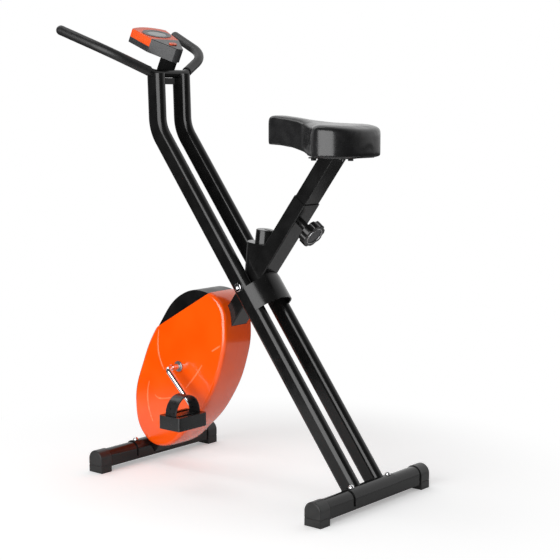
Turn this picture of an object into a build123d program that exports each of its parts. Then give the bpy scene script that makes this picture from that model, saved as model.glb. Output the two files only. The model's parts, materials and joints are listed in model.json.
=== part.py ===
from build123d import *
import math
import os

os.makedirs("parts", exist_ok=True)

# Folding upright exercise bike. Millimetres, +X to the rear, +Y to the rider's right, +Z up.
# The origin is the middle of the footprint on the floor.
# Lengthwise places (names ending in _x) are measured from the fold pivot.
# The drive is placed on the leg: along it from the pivot, and ahead of it.

# Main frame
stabiliser_spacing = 695.0
pivot_height = 485.0
foot_aim_height = 20.5
leg_width = 57.0
leg_depth = 40.0
leg_wall = 2.0
leg_corner = 3.0
sleeve_rise = 267.0
tube_depth = 50.0
tube_width = 30.0
tube_wall = 2.0
tube_spacing = 90.0
bend_rise = 375.0
bend_radius = 90.0
upper_lean = 2.0
upright_rise = 136.0
cross_plate_height = 16.0
cross_plate_wall = 3.0
cross_plate_drop = 18.5
weld_gap = 0.2
swing_gap = 0.3

# Stabilisers and their end caps
stabiliser_length = 430.0
stabiliser_width = 40.0
stabiliser_bottom = 13.0
stabiliser_spring = 35.0
cap_length = 35.0
cap_width = 46.0
cap_spring = 34.0
cap_end_wall = 8.0
cap_gap = 0.2
cap_groove_height = 19.0
cap_groove = 2.4
saddle_plate_wall = 3.0
saddle_plate_length = 170.0
saddle_bolt_spacing = 144.0
saddle_bolt_head = 7.0
saddle_bolt_shank = 4.0

# Fold pivot and opening stop
pivot_bolt_radius = 6.0
pivot_play = 0.15
pivot_sleeve_wall = 5.0
pivot_side_gap = 0.4
pivot_head_radius = 10.0
pivot_head_height = 6.0
pivot_socket = 8.0
nut_half = 9.0
nut_dome = 8.0
bolt_overrun = 9.0
stop_radius = 62.0
stop_wall = 3.0
stop_start = 9.0
stop_end = 72.0

# Crank, pedals and belt drive
crank_place = (-302.6, 37.2)
crank_length = 150.0
crank_drop = 44.0
crank_bar = 14.0
crank_plane = 93.0
crank_elbow = 12.0
spindle_radius = 8.0
shell_radius = 16.0
shell_wall = 3.0
shell_inset = 6.0
cup_flange = 13.5
cup_reach = 8.5
cup_round = 1.5
cup_width = 9.0
running_gap = 0.4
pulley_radius = 84.0
pulley_width = 12.0
pulley_side_gap = 3.5
small_pulley_radius = 15.0
belt_thickness = 2.4
belt_gap = 0.35
flange_lip = 3.5
flange_wall = 1.5
pulley_windows = 5
pulley_window = 15.0
pulley_window_ring = 52.0
pedal_width = 97.0
pedal_length = 68.0
pedal_height = 33.0
pedal_gap = 1.5
pedal_pin_radius = 6.0
strap_width = 35.0
strap_wall = 3.0
strap_rise = 47.0
strap_fullness = 0.72
strap_inset = 6.0
crank_eye = 12.0
pedal_rim = 9.0
pedal_bridge = 26.0
pedal_collar = 9.0
tread_rib = 5.0

# Flywheel and magnet brake
flywheel_place = (-191.4, 40.4)
flywheel_radius = 88.0
flywheel_width = 12.0
flywheel_side_gap = 1.4
flywheel_rim = 16.0
flywheel_web = 5.0
axle_radius = 6.0
hub_radius = 17.0
bearing_radius = 13.0
bearing_width = 9.0
magnet_gap = 1.6
magnet_wall = 5.0
magnet_angles = (172.0, 186.0, 200.0)
magnet_span = 10.0
magnet_release = 3.0
arm_wall = 3.0
arm_eye = 8.0
arm_pin_radius = 4.0
arm_pin_angle = 216.0
arm_pin_ring = 104.0
brake_plate_wall = 2.6
brake_plate_half = 10.0

# Drive cover
cover_half = 52.0
cover_wall = 2.5
cover_shoulder = 16.0
cover_gap = 0.5
cover_egg = [(-270.4, 156.1), (-376.4, 144.2), (-491.7, 98.0), (-541.2, 22.2),
             (-518.2, -41.8), (-416.7, -80.7), (-302.1, -88.6), (-196.7, -66.0),
             (-121.6, -26.1), (-78.4, 26.3), (-86.3, 85.3), (-146.8, 141.2)]
cover_cut_low = (-261.6, 147.7)
cover_cut_high = (-75.3, 67.3)
egg_stations = 24
guard_tuck = 22.0
guard_gap = 0.4
screw_places = [(-476.9, 61.6), (-449.1, -67.5), (-296.1, -71.6), (-347.0, 130.0)]
screw_boss = 6.0
screw_head = 4.0
screw_shank = 2.0
screw_length = 16.0
screw_sink = 2.0
guard_wall = 2.0

# Seat and its post
post_gap = 0.5
post_wall = 2.0
post_start = 75.0
seat_rise = 315.0
seat_plate_wall = 3.0
seat_plate_length = 100.0
seat_plate_width = 60.0
seat_base_wall = 5.2
seat_bolt_radius = 4.0
seat_bolt_head = 7.0
seat_bolt_head_height = 5.0
seat_bolt_spread_x = 38.0
seat_bolt_spread_y = 20.0
seat_plate_corner = 8.0
nose_lead = 182.4
seat_sections = [(2, 17, 24, 80), (9, 24, 23.5, 89), (45, 28, 22, 90), (81, 28, 17, 86.5), (117, 29, 8, 82.5),
                 (145, 32, 3, 79.5), (165, 48, 0.5, 78), (185, 75, 0, 76.5), (205, 95, 0, 75.5),
                 (227, 102, 0, 74.5), (250, 94, 0, 73), (267, 74, 0, 71), (278, 48, 1, 67), (283, 26, 3, 62)]
seat_crown = 9.0
seat_tuck = 0.95
seat_brow = 0.9
seat_pan_share = 0.62
post_corner = 1.0
hole_pitch = 25.0
hole_radius = 5.5
raise_steps = 4
lower_steps = 2
pin_rise = 213.0
pin_radius = 4.8
pin_travel = 8.0
pin_boss_radius = 9.5
pin_boss_length = 20.0
pin_knob_radius = 32.0
pin_knob_width = 20.0
pin_knob_reach = 68.7
pin_knob_lobes = 8
pin_disc_radius = 23.0
pin_disc_depth = 3.0
pin_disc_rim = 2.5
pin_scallop = 14.0
pin_scallop_offset = 11.5
pin_knob_round = 2.0

# Tension knob on its stub
stub_x = 28.0
stub_rise = 104.0
stub_lean = 6.0
stub_front = 16.0
stub_drop = 130.0
tension_knob_radius = 22.0
tension_knob_top = 21.0
tension_knob_height = 33.0
tension_knob_round = 2.0
tension_mark = 3.0
tension_mark_rise = 0.8
tension_stem_radius = 4.0
tension_stem_length = 24.0

# Handlebar and console
bar_radius = 10.0
grip_wall = 2.0
grip_gap = 0.15
bar_setback = 1.8
bar_corner_y = 55.0
bar_corner_radius = 45.0
horn_bend = (-36.5, 167.0, 49.5)
horn_bend_radius = 108.0
horn_tip = (-173.0, 202.5, 105.0)
grip_start = 14.0
console_lead = 12.5
console_rise = 85.0
console_tilt = 26.0
console_front = 63.0
console_bulge = 13.0
console_front_half = 60.0
console_line_half = 49.0
console_rear = 56.0
console_tip_half = 13.0
console_depth = 35.5
console_cover_depth = 21.0
console_wall = 2.2
console_corner = 5.0
console_gap = 0.3
lens_length = 46.0
lens_width = 94.0
lens_place = -33.0
bezel_share = 0.68
lens_proud = 1.2
button_place = 29.0
button_length = 12.0
button_width = 24.0
button_proud = 2.6
neck_width = 42.0
neck_depth = 20.0
neck_lead = 15.5
neck_foot = 8.6

# Places and frames worked out from the sizes
front_x = -stabiliser_spacing / 2
rear_x = stabiliser_spacing / 2
lean = math.atan2(pivot_height - foot_aim_height, stabiliser_spacing / 2)
bend_height = pivot_height + bend_rise
bend_x = -bend_rise / math.tan(lean)
bar_height = bend_height + upright_rise
tube_top_x = bend_x - upright_rise * math.tan(math.radians(upper_lean))
bar_x = tube_top_x + bar_setback
grip_radius = bar_radius + grip_gap + grip_wall
pulley_inner_y = leg_width / 2 + pulley_side_gap
flywheel_inner_y = leg_width / 2 + brake_plate_wall + flywheel_side_gap
pivot_x = -((bar_x + horn_tip[0] - grip_radius) + (rear_x + cap_width / 2)) / 2


def on_leg(along, ahead):
    return (along * math.cos(lean) - ahead * math.sin(lean),
            pivot_height + along * math.sin(lean) + ahead * math.cos(lean))


def at(x, y, z):
    return Vector(pivot_x + x, y, z)


def slab(profile, y_low, y_high):
    return extrude(Plane.XZ.offset(-y_high) * profile, y_high - y_low)


def rod(x, z, radius, y_low, y_high):
    return slab(Pos(pivot_x + x, z) * Circle(radius), y_low, y_high)


def mirrored(solid):
    return mirror(solid, Plane.XZ)


crank_x, crank_height = on_leg(*crank_place)
flywheel_x, flywheel_height = on_leg(*flywheel_place)
shell_half = cover_half - shell_inset
pivot = at(0, 0, pivot_height)
leg_frame = Plane(pivot, x_dir=(0, 1, 0), z_dir=(math.cos(lean), 0, math.sin(lean)))
tube_frame = Plane(pivot, x_dir=(0, 1, 0), z_dir=(-math.cos(lean), 0, math.sin(lean)))
leg_reach = (pivot_height - foot_aim_height) / math.sin(lean)
on_base = (Align.CENTER, Align.CENTER, Align.MIN)
parts = {}


# Stabilisers: arched steel tubes that lie across the floor, with a plastic cap on each end
def arch(width, bottom, spring):
    half = width / 2
    sides = Polyline((-half, spring), (-half, bottom), (half, bottom), (half, spring))
    return make_face(sides + ThreePointArc((half, spring), (0, spring + half), (-half, spring)))


def arch_bar(x, width, bottom, spring, y_low, y_high):
    return slab(Pos(pivot_x + x, 0) * arch(width, bottom, spring), y_low, y_high)


def stabiliser_tube(x):
    half = stabiliser_length / 2 - cap_end_wall
    inner = stabiliser_width - 2 * tube_wall
    tube = arch_bar(x, stabiliser_width, stabiliser_bottom, stabiliser_spring, -half, half)
    tube -= arch_bar(x, inner, stabiliser_bottom + tube_wall, stabiliser_spring, -half, half)
    for y in (-saddle_bolt_spacing / 2, saddle_bolt_spacing / 2):
        tube -= Pos(pivot_x + x, y, stabiliser_spring) * Cylinder(
            saddle_bolt_shank + weld_gap, stabiliser_width, align=on_base)
    return tube


def stabiliser_cap(x):
    outer_y = stabiliser_length / 2
    cap = arch_bar(x, cap_width, 0, cap_spring, outer_y - cap_length, outer_y)
    cap = fillet(cap.faces().sort_by(Axis.Y)[-1].edges(), cap_groove)
    pocket = arch_bar(x, stabiliser_width + 2 * cap_gap, stabiliser_bottom - cap_gap, stabiliser_spring,
                      outer_y - cap_length, outer_y - cap_end_wall)
    band = arch_bar(x, cap_width + cap_groove, -cap_groove, cap_spring, 0, outer_y + cap_groove)
    core = arch_bar(x, cap_width - cap_groove, -cap_groove, cap_spring, 0, outer_y - cap_groove / 2)
    level = Pos(pivot_x + x, 0, cap_groove_height) * Box(cap_width * 2, stabiliser_length * 2, cap_groove)
    return cap - pocket - ((band - core) & level)


def saddle_plate(x):
    half = saddle_plate_length / 2
    inner = stabiliser_width + 2 * weld_gap
    plate = arch_bar(x, inner + 2 * saddle_plate_wall, cap_groove_height + tube_wall, stabiliser_spring,
                     -half, half)
    plate -= arch_bar(x, inner, 0, stabiliser_spring, -half, half)
    for y in (-saddle_bolt_spacing / 2, saddle_bolt_spacing / 2):
        plate -= Pos(pivot_x + x, y, stabiliser_spring) * Cylinder(
            saddle_bolt_shank + weld_gap, stabiliser_width, align=on_base)
    return plate


saddle_top = stabiliser_spring + stabiliser_width / 2 + weld_gap + saddle_plate_wall


def saddle_bolts(x):
    bolts = []
    for y in (-saddle_bolt_spacing / 2, saddle_bolt_spacing / 2):
        head = Sphere(saddle_bolt_head, arc_size1=0, align=on_base)
        shank = Pos(0, 0, -saddle_bolt_head - tube_wall) * Cylinder(
            saddle_bolt_shank, saddle_bolt_head + tube_wall, align=on_base)
        bolts.append(Pos(pivot_x + x, y, saddle_top) * (head + shank))
    return Compound(children=bolts)


for name, x in (("front", front_x), ("rear", rear_x)):
    parts[name + "_stabiliser"] = stabiliser_tube(x)
    parts[name + "_cap_right"] = stabiliser_cap(x)
    parts[name + "_cap_left"] = mirrored(stabiliser_cap(x))
    parts[name + "_saddle_plate"] = saddle_plate(x)
    parts[name + "_saddle_bolts"] = saddle_bolts(x)


def saddle_shadow(x):
    width = stabiliser_width + 2 * (weld_gap + saddle_plate_wall + weld_gap)
    return arch_bar(x, width, -stabiliser_width, stabiliser_spring, -stabiliser_length, stabiliser_length)


# Front leg: one straight box tube from the front stabiliser to the seat sleeve
def leg_bar(width, depth, low, high, corner):
    return leg_frame * extrude(Pos(0, 0, low) * RectangleRounded(width, depth, corner), high - low)


def normal_rod(along, radius, low, high):
    centre = leg_frame * Pos(0, 0, along) * Rot(90, 0, 0)
    return centre * Pos(0, 0, low) * Cylinder(radius, high - low, align=on_base)


pivot_sleeve_radius = pivot_bolt_radius + pivot_play + pivot_sleeve_wall
leg_body = leg_bar(leg_width, leg_depth, -leg_reach, sleeve_rise, leg_corner)
floor_block = Pos(pivot_x + front_x, 0, 0) * Box(
    stabiliser_spacing, stabiliser_spacing, 2 * (cap_groove_height + tube_wall))
leg = leg_body - leg_bar(leg_width - 2 * leg_wall, leg_depth - 2 * leg_wall, -leg_reach, sleeve_rise,
                         leg_corner - leg_wall)
leg -= saddle_shadow(front_x) + floor_block
leg -= rod(0, pivot_height, pivot_sleeve_radius + weld_gap, -leg_width, leg_width)
leg -= normal_rod(pin_rise, pin_radius + swing_gap, leg_depth / 2 - 2 * leg_wall, leg_depth)
parts["front_leg"] = leg

behind_leg_face = leg_frame * Pos(0, leg_depth / 2 - leg_reach, 0) * Box(
    4 * leg_width, 2 * leg_reach, 4 * leg_reach)
behind_leg_edge = leg_frame * Pos(0, leg_depth / 2 - leg_corner / 2 - leg_reach, 0) * Box(
    4 * leg_width, 2 * leg_reach, 4 * leg_reach)

sleeve_half = tube_spacing / 2 - tube_width / 2 - pivot_side_gap
parts["pivot_sleeve"] = (rod(0, pivot_height, pivot_sleeve_radius, -sleeve_half, sleeve_half)
                         - rod(0, pivot_height, pivot_bolt_radius + pivot_play, -sleeve_half, sleeve_half))


# Pull pin guide: a short boss welded on the rear face of the sleeve
boss_face = leg_depth / 2 + pin_boss_length
parts["pin_boss"] = (normal_rod(pin_rise, pin_boss_radius, leg_depth / 2, boss_face)
                     - normal_rod(pin_rise, pin_radius + swing_gap, leg_depth / 2, boss_face))


# Handlebar: one bent tube whose horns reach forward, and whose middle lies on the twin tubes
def horn(side):
    corner = at(bar_x, side * bar_corner_y, bar_height)
    bend = at(bar_x + horn_bend[0], side * horn_bend[1], bar_height + horn_bend[2])
    tip = at(bar_x + horn_tip[0], side * horn_tip[1], bar_height + horn_tip[2])
    return corner, bend, tip


corner_left, bend_left, tip_left = horn(-1)
corner_right, bend_right, tip_right = horn(1)
bar_path = FilletPolyline(tip_left, bend_left, corner_left, corner_right, bend_right, tip_right,
                          radius=[horn_bend_radius, bar_corner_radius, bar_corner_radius, horn_bend_radius])


def bar_sweep(radius):
    return sweep(Plane(tip_left, z_dir=bend_left - tip_left) * Circle(radius), path=bar_path)


parts["handlebar"] = bar_sweep(bar_radius) - bar_sweep(bar_radius - tube_wall)


# Twin tubes: flat oval tubes, straight from the rear stabiliser past the pivot, then bent upright
def tube_path():
    foot = at(rear_x, 0, foot_aim_height)
    return FilletPolyline(foot, at(bend_x, 0, bend_height), at(tube_top_x, 0, bar_height), radius=bend_radius)


def oval_tube(width, depth):
    section = SlotOverall(depth, width, rotation=90)
    start = Plane(at(rear_x, 0, foot_aim_height), x_dir=(0, 1, 0), z_dir=tube_frame.z_dir)
    return sweep(start * section, path=tube_path())


bolt_hole = rod(0, pivot_height, pivot_bolt_radius + weld_gap, -tube_spacing, tube_spacing)
tube_cut = (saddle_shadow(rear_x) + bar_sweep(bar_radius + weld_gap) + bolt_hole
            + Pos(pivot_x + rear_x, 0, 0) * Box(
                stabiliser_spacing, stabiliser_spacing, 2 * (cap_groove_height + tube_wall)))
tube = oval_tube(tube_width, tube_depth) - oval_tube(tube_width - 2 * tube_wall, tube_depth - 2 * tube_wall)
tube = Pos(0, tube_spacing / 2, 0) * tube - tube_cut
parts["tube_right"] = tube
parts["tube_left"] = mirrored(tube)

cross_plate_half = tube_spacing / 2 - tube_width / 2
cross_plate_x = bar_x + cross_plate_drop * math.tan(math.radians(upper_lean))
parts["cross_plate"] = Pos(pivot_x + cross_plate_x, 0, bar_height - cross_plate_drop) * Box(
    cross_plate_wall, 2 * cross_plate_half, cross_plate_height)

# Pivot bolt through both tubes and the leg's sleeve, with a dome nut on the right
side_face = tube_spacing / 2 + tube_width / 2
head = rod(0, pivot_height, pivot_head_radius, -side_face - pivot_head_height, -side_face)
head = fillet(head.faces().sort_by(Axis.Y)[0].edges(), pivot_head_height / 4)
socket = slab(Pos(pivot_x, pivot_height) * RegularPolygon(pivot_socket / 2, 6, major_radius=False),
              -side_face - pivot_head_height, -side_face - pivot_head_height / 3)
bolt_end = side_face + bolt_overrun
parts["pivot_bolt"] = head + rod(0, pivot_height, pivot_bolt_radius, -side_face, bolt_end) - socket
nut = slab(Pos(pivot_x, pivot_height) * RegularPolygon(nut_half, 6, major_radius=False),
           side_face, side_face + pivot_head_height)
dome = Pos(pivot_x, side_face + pivot_head_height, pivot_height) * Sphere(nut_dome)
dome -= Pos(pivot_x, 0, pivot_height) * Box(
    4 * pivot_head_radius, 2 * (side_face + pivot_head_height), 4 * pivot_head_radius)
parts["pivot_nut"] = nut + dome - rod(0, pivot_height, pivot_bolt_radius + weld_gap, 0, bolt_end + weld_gap)


# Opening stop: a half pipe welded to the leg, whose edges lean on the twin tubes
def tube_shadow(gap):
    section = SlotOverall(tube_depth + 2 * gap, tube_width + 2 * gap, rotation=90)
    pair = Pos(tube_spacing / 2, 0) * section + Pos(-tube_spacing / 2, 0) * section
    return tube_frame * extrude(Pos(0, 0, -2 * stop_end) * pair, 4 * stop_end)


def stop_pipe(width, start):
    ring = Circle(stop_radius) - Circle(stop_radius - stop_wall)
    window = Pos(0, -stop_radius) * Rectangle(width, 2 * (stop_radius - tube_depth / 4))
    return tube_frame * extrude(Pos(0, 0, -stop_end) * (ring & window), stop_end - start)


stop = stop_pipe(2 * stop_radius, stop_start) + stop_pipe(leg_width, 0)
parts["stop_saddle"] = stop - leg_body - tube_shadow(swing_gap)

# Tension stub: a short upright tube on the front of the leg, which carries the knob
stub_tilt = math.radians(stub_lean)
stub_frame = Plane(at(stub_x, 0, pivot_height + stub_rise),
                   x_dir=(math.cos(stub_tilt), 0, -math.sin(stub_tilt)),
                   z_dir=(math.sin(stub_tilt), 0, math.cos(stub_tilt)))
stub_plan = (Pos(-stub_front, 0) * Circle(leg_width / 2)
             + Pos(stub_drop / 2 - stub_front, 0) * Rectangle(stub_drop, leg_width))
stub = stub_frame * extrude(Pos(0, 0, -stub_drop) * stub_plan, stub_drop) - behind_leg_edge - leg_body
stem_hole = Pos(0, 0, -tension_stem_length) * Cylinder(
    tension_stem_radius + swing_gap, tension_stem_length, align=on_base)
parts["tension_stub"] = stub - stub_frame * stem_hole

# Tension knob: smooth, slightly tapered, with a raised mark on top and a stem that turns in the stub
knob = Pos(0, 0, swing_gap) * Cone(tension_knob_radius, tension_knob_top, tension_knob_height,
                                   align=on_base)
knob = fillet(knob.faces().sort_by(Axis.Z)[-1].edges(), tension_knob_round)
mark_reach = tension_knob_top - tension_knob_round - tension_mark
knob += Pos(mark_reach / 2, 0, swing_gap + tension_knob_height) * Box(
    mark_reach, tension_mark, 2 * tension_mark_rise)
knob += Pos(0, 0, swing_gap - tension_stem_length) * Cylinder(
    tension_stem_radius, tension_stem_length, align=on_base)
parts["tension_knob"] = stub_frame * knob

# Bottom bracket: a shell welded on the front of the leg, with a bearing cup in each end
shell_right = pulley_inner_y - 2 * running_gap
cup_bore = shell_radius - shell_wall
shell = rod(crank_x, crank_height, shell_radius, -shell_half, shell_right)
shell -= rod(crank_x, crank_height, cup_bore, -shell_half, shell_right)
leg_shadow = leg_bar(leg_width + 2 * weld_gap, leg_depth + 2 * weld_gap, -leg_reach, sleeve_rise, leg_corner)
parts["crank_shell"] = shell - leg_shadow

spindle_bore = rod(crank_x, crank_height, spindle_radius + running_gap, -2 * shell_half, 2 * shell_half)
flange = rod(crank_x, crank_height, cup_flange, -shell_half - cup_reach, -shell_half)
flange = fillet(flange.faces().sort_by(Axis.Y)[0].edges(), cup_round)
flange += rod(crank_x, crank_height, cup_bore - weld_gap, -shell_half, cup_width - shell_half)
plain_cup = rod(crank_x, crank_height, cup_bore - weld_gap, shell_right - cup_width, shell_right)
parts["crank_cups"] = Compound(children=[flange - spindle_bore, plain_cup - spindle_bore])

# Crank: one forged bar with a thicker spindle in the middle, chromed. The left arm points down to the rear
def arm_end(side, reach):
    drop = math.radians(crank_drop)
    return crank_x - side * reach * math.cos(drop), crank_height + side * reach * math.sin(drop)


def crank_arm(side):
    eye_x, eye_z = arm_end(side, crank_length)
    start = at(crank_x, 0, crank_height)
    bend = at(crank_x, side * crank_plane, crank_height)
    end = at(eye_x, side * crank_plane, eye_z)
    path = FilletPolyline(start, bend, end, radius=crank_elbow)
    bar = sweep(Plane(start, z_dir=(0, side, 0)) * Circle(crank_bar / 2), path=path)
    inner, outer = sorted((side * (crank_plane - crank_bar / 2), side * (crank_plane + crank_bar / 2)))
    return bar + rod(eye_x, eye_z, crank_eye, inner, outer) - rod(eye_x, eye_z, pin_seat, inner, outer)


pin_seat = pedal_pin_radius + weld_gap
arm_face = crank_plane + crank_bar / 2
spindle_half = crank_plane - crank_bar
spindle = rod(crank_x, crank_height, spindle_radius, -spindle_half, spindle_half)
spindle = chamfer(spindle.edges(), spindle_radius - crank_bar / 2 - weld_gap)
parts["crank"] = spindle + crank_arm(-1) + crank_arm(1)

# Pedals: a treaded block that turns on a pin screwed into the arm, with a strap for the foot.
# The straps face opposite ways
pedal_inner = arm_face + pedal_gap
pedal_outer = pedal_inner + pedal_width


def pedal_pin(side):
    eye = arm_end(side, crank_length)
    pin_end = pedal_outer - pedal_rim - swing_gap
    inner, outer = sorted((side * (crank_plane - crank_bar / 2), side * pin_end))
    collar = sorted((side * arm_face, side * (pedal_inner - swing_gap)))
    return rod(*eye, pedal_pin_radius, inner, outer) + rod(*eye, pedal_collar, *collar)


def pedal_block(side):
    eye_x, eye_z = arm_end(side, crank_length)
    middle = Pos(pivot_x + eye_x, side * (pedal_inner + pedal_outer) / 2, eye_z)
    block = Box(pedal_length, pedal_width, pedal_height)
    block = fillet(block.edges().filter_by(Axis.Z), pedal_rim / 2)
    window = Box((pedal_length - pedal_bridge) / 2 - pedal_rim, pedal_width - 2 * pedal_rim, 2 * pedal_height)
    shift = (pedal_length + pedal_bridge) / 4 - pedal_rim / 2
    block -= Pos(shift, 0, 0) * window + Pos(-shift, 0, 0) * window
    ribs = [Pos(0, y, 0) * Box(pedal_length - pedal_rim, tread_rib, pedal_height - tread_rib)
            for y in (-pedal_width / 6, pedal_width / 6)]
    block += ribs
    bore = Rot(90, 0, 0) * Cylinder(pedal_pin_radius + swing_gap, 2 * pedal_width)
    end_wall = Pos(0, side * (pedal_width - pedal_rim) / 2, 0) * Box(pedal_bridge, pedal_rim, pedal_bridge)
    return middle * (block - bore + end_wall)


def strap_arch(half, top):
    shoulder = half * strap_fullness
    level = top * strap_fullness
    return make_face(ThreePointArc((-half, 0), (-shoulder, level), (0, top))
                     + ThreePointArc((0, top), (shoulder, level), (half, 0)) + Line((half, 0), (-half, 0)))


def pedal_strap(side):
    eye_x, eye_z = arm_end(side, crank_length)
    half = pedal_width / 2 - strap_inset
    band = strap_arch(half, strap_rise) - strap_arch(half - strap_wall, strap_rise - strap_wall)
    middle = (pivot_x + eye_x, side * (pedal_inner + pedal_outer) / 2, eye_z - side * pedal_height / 2)
    frame = Plane(middle, x_dir=(0, 1, 0), z_dir=(-side, 0, 0))
    return extrude(frame * band, strap_width / 2, both=True)


parts["pedal_pins"] = Compound(children=[pedal_pin(-1), pedal_pin(1)])
for name, side in (("left", -1), ("right", 1)):
    parts["pedal_" + name] = pedal_block(side)
    parts["pedal_strap_" + name] = pedal_strap(side)


# Belt drive on the right of the leg: a large pulley on the crank, a small one on the flywheel axle
def pulley(x, z, radius, bore):
    belt_low = pulley_inner_y + flange_wall
    belt_high = pulley_inner_y + pulley_width - flange_wall
    wheel = rod(x, z, radius, pulley_inner_y, pulley_inner_y + pulley_width)
    for low, high in ((pulley_inner_y, belt_low), (belt_high, pulley_inner_y + pulley_width)):
        wheel += rod(x, z, radius + flange_lip, low, high)
    return wheel - rod(x, z, bore, 0, cover_half)


big = pulley(crank_x, crank_height, pulley_radius, spindle_radius)
for i in range(pulley_windows):
    turn = 2 * math.pi * i / pulley_windows
    x = crank_x + pulley_window_ring * math.cos(turn)
    z = crank_height + pulley_window_ring * math.sin(turn)
    big -= rod(x, z, pulley_window, 0, cover_half)
parts["drive_pulley"] = big
parts["flywheel_pulley"] = pulley(flywheel_x, flywheel_height, small_pulley_radius, axle_radius)


def belt_outline(extra):
    big_radius = pulley_radius + belt_gap + extra
    small_radius = small_pulley_radius + belt_gap + extra
    run_x = flywheel_x - crank_x
    run_z = flywheel_height - crank_height
    distance = math.hypot(run_x, run_z)
    heading = math.degrees(math.atan2(run_z, run_x))
    swing = math.acos((big_radius - small_radius) / distance)
    big_edge = [(big_radius * math.cos(a), big_radius * math.sin(a)) for a in (swing, math.pi, -swing)]
    small_edge = [(distance + small_radius * math.cos(a), small_radius * math.sin(a))
                  for a in (-swing, 0, swing)]
    loop = (ThreePointArc(*big_edge) + Line(big_edge[-1], small_edge[0]) + ThreePointArc(*small_edge)
            + Line(small_edge[-1], big_edge[0]))
    return Pos(pivot_x + crank_x, crank_height) * Rot(0, 0, heading) * make_face(loop)


belt_low = pulley_inner_y + flange_wall + belt_gap
belt_high = pulley_inner_y + pulley_width - flange_wall - belt_gap
parts["drive_belt"] = slab(belt_outline(belt_thickness) - belt_outline(0), belt_low, belt_high)

# Flywheel on the left of the leg, on an axle that turns in a hub welded to the leg
wheel_low = -flywheel_inner_y - flywheel_width
wheel_high = -flywheel_inner_y
wheel = rod(flywheel_x, flywheel_height, flywheel_radius, wheel_low, wheel_high)
dish = (flywheel_width - flywheel_web) / 2
for low, high in ((wheel_low, wheel_low + dish), (wheel_high - dish, wheel_high)):
    wheel -= (rod(flywheel_x, flywheel_height, flywheel_radius - flywheel_rim, low, high)
              - rod(flywheel_x, flywheel_height, hub_radius, low, high))
parts["flywheel"] = wheel - rod(flywheel_x, flywheel_height, axle_radius, wheel_low, wheel_high)
axle_end = pulley_inner_y + pulley_width
parts["flywheel_axle"] = rod(flywheel_x, flywheel_height, axle_radius, wheel_low, axle_end)

hub_half = leg_width / 2
hub = rod(flywheel_x, flywheel_height, hub_radius, -hub_half, hub_half)
web_turn = math.degrees(lean)
hub += slab(Pos(pivot_x + flywheel_x, flywheel_height) * Rot(0, 0, web_turn - 90)
            * Pos(leg_depth, 0) * Rectangle(2 * leg_depth, hub_radius), -hub_half, hub_half)
hub -= behind_leg_face
hub -= rod(flywheel_x, flywheel_height, axle_radius + running_gap, -hub_half, hub_half)
for low, high in ((-hub_half, bearing_width - hub_half), (hub_half - bearing_width, hub_half)):
    hub -= rod(flywheel_x, flywheel_height, bearing_radius + weld_gap, low, high)
parts["flywheel_hub"] = hub
bearings = []
for low, high in ((-hub_half, bearing_width - hub_half), (hub_half - bearing_width, hub_half)):
    bearings.append(rod(flywheel_x, flywheel_height, bearing_radius, low, high)
                    - rod(flywheel_x, flywheel_height, axle_radius + running_gap / 2, low, high))
parts["flywheel_bearings"] = Compound(children=bearings)

# Magnet brake: an arm with three magnets swings towards the flywheel's rim, on a plate beside the leg
def around_flywheel(radius, degrees):
    turn = math.radians(degrees)
    return flywheel_x + radius * math.cos(turn), flywheel_height + radius * math.sin(turn)


def ring_sector(inner, outer, start, end):
    middle = (start + end) / 2
    corners = [around_flywheel(r, a) for r, a in ((inner, start), (inner, middle), (inner, end),
                                                  (outer, end), (outer, middle), (outer, start))]
    loop = (ThreePointArc(*corners[:3]) + Line(corners[2], corners[3]) + ThreePointArc(*corners[3:])
            + Line(corners[5], corners[0]))
    return Pos(pivot_x, 0) * make_face(loop)


magnet_ring = flywheel_radius + magnet_gap
band_ring = magnet_ring + magnet_wall
arm_pin_x, arm_pin_z = around_flywheel(arm_pin_ring, arm_pin_angle)
arm_pin = Pos(pivot_x + arm_pin_x, 0, arm_pin_z)
release = arm_pin * Rot(0, -magnet_release, 0) * arm_pin.inverse()
band = slab(ring_sector(band_ring, band_ring + arm_wall, magnet_angles[0] - magnet_span / 2, arm_pin_angle),
            wheel_low, wheel_high)
band += rod(arm_pin_x, arm_pin_z, arm_eye, wheel_low, wheel_high)
band -= rod(arm_pin_x, arm_pin_z, arm_pin_radius + swing_gap, wheel_low, wheel_high)
parts["magnet_arm"] = release * band
magnet_faces = [ring_sector(magnet_ring, band_ring, a - magnet_span / 2, a + magnet_span / 2)
                for a in magnet_angles]
magnets = [release * slab(face, wheel_low, wheel_high) for face in magnet_faces]
parts["brake_magnets"] = Compound(children=magnets)

plate_low = -leg_width / 2 - brake_plate_wall
leg_side = arm_pin_z + brake_plate_half
root_x = -(pivot_height - leg_side) / math.tan(lean)
plate = slab(Pos(pivot_x + (arm_pin_x + root_x) / 2, arm_pin_z + brake_plate_half / 2)
             * Rectangle(root_x - arm_pin_x, brake_plate_half), plate_low, -leg_width / 2)
plate += rod(arm_pin_x, arm_pin_z, brake_plate_half, plate_low, -leg_width / 2)
parts["brake_plate"] = plate + rod(arm_pin_x, arm_pin_z, arm_pin_radius, wheel_low, plate_low)


# Drive cover: two moulded shells of one egg outline, open along a slanted cut at the top front
def cover_point(place):
    x, z = on_leg(*place)
    return Vector(pivot_x + x, z)


egg_line = Spline(*[cover_point(place) for place in cover_egg], periodic=True)


def egg(inset):
    points = []
    for i in range(egg_stations):
        tangent = egg_line % (i / egg_stations)
        points.append(egg_line @ (i / egg_stations) + Vector(-tangent.Y, tangent.X) * inset)
    return make_face(Spline(*points, periodic=True))


def egg_body(inset):
    half = cover_half - inset
    body = slab(egg(inset), 0, half)
    return fillet(body.faces().sort_by(Axis.Y)[-1].edges(), cover_shoulder - inset)


cut_run = (cover_point(cover_cut_high) - cover_point(cover_cut_low)).normalized()
cut_up = Vector(-cut_run.Y, cut_run.X)


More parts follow.
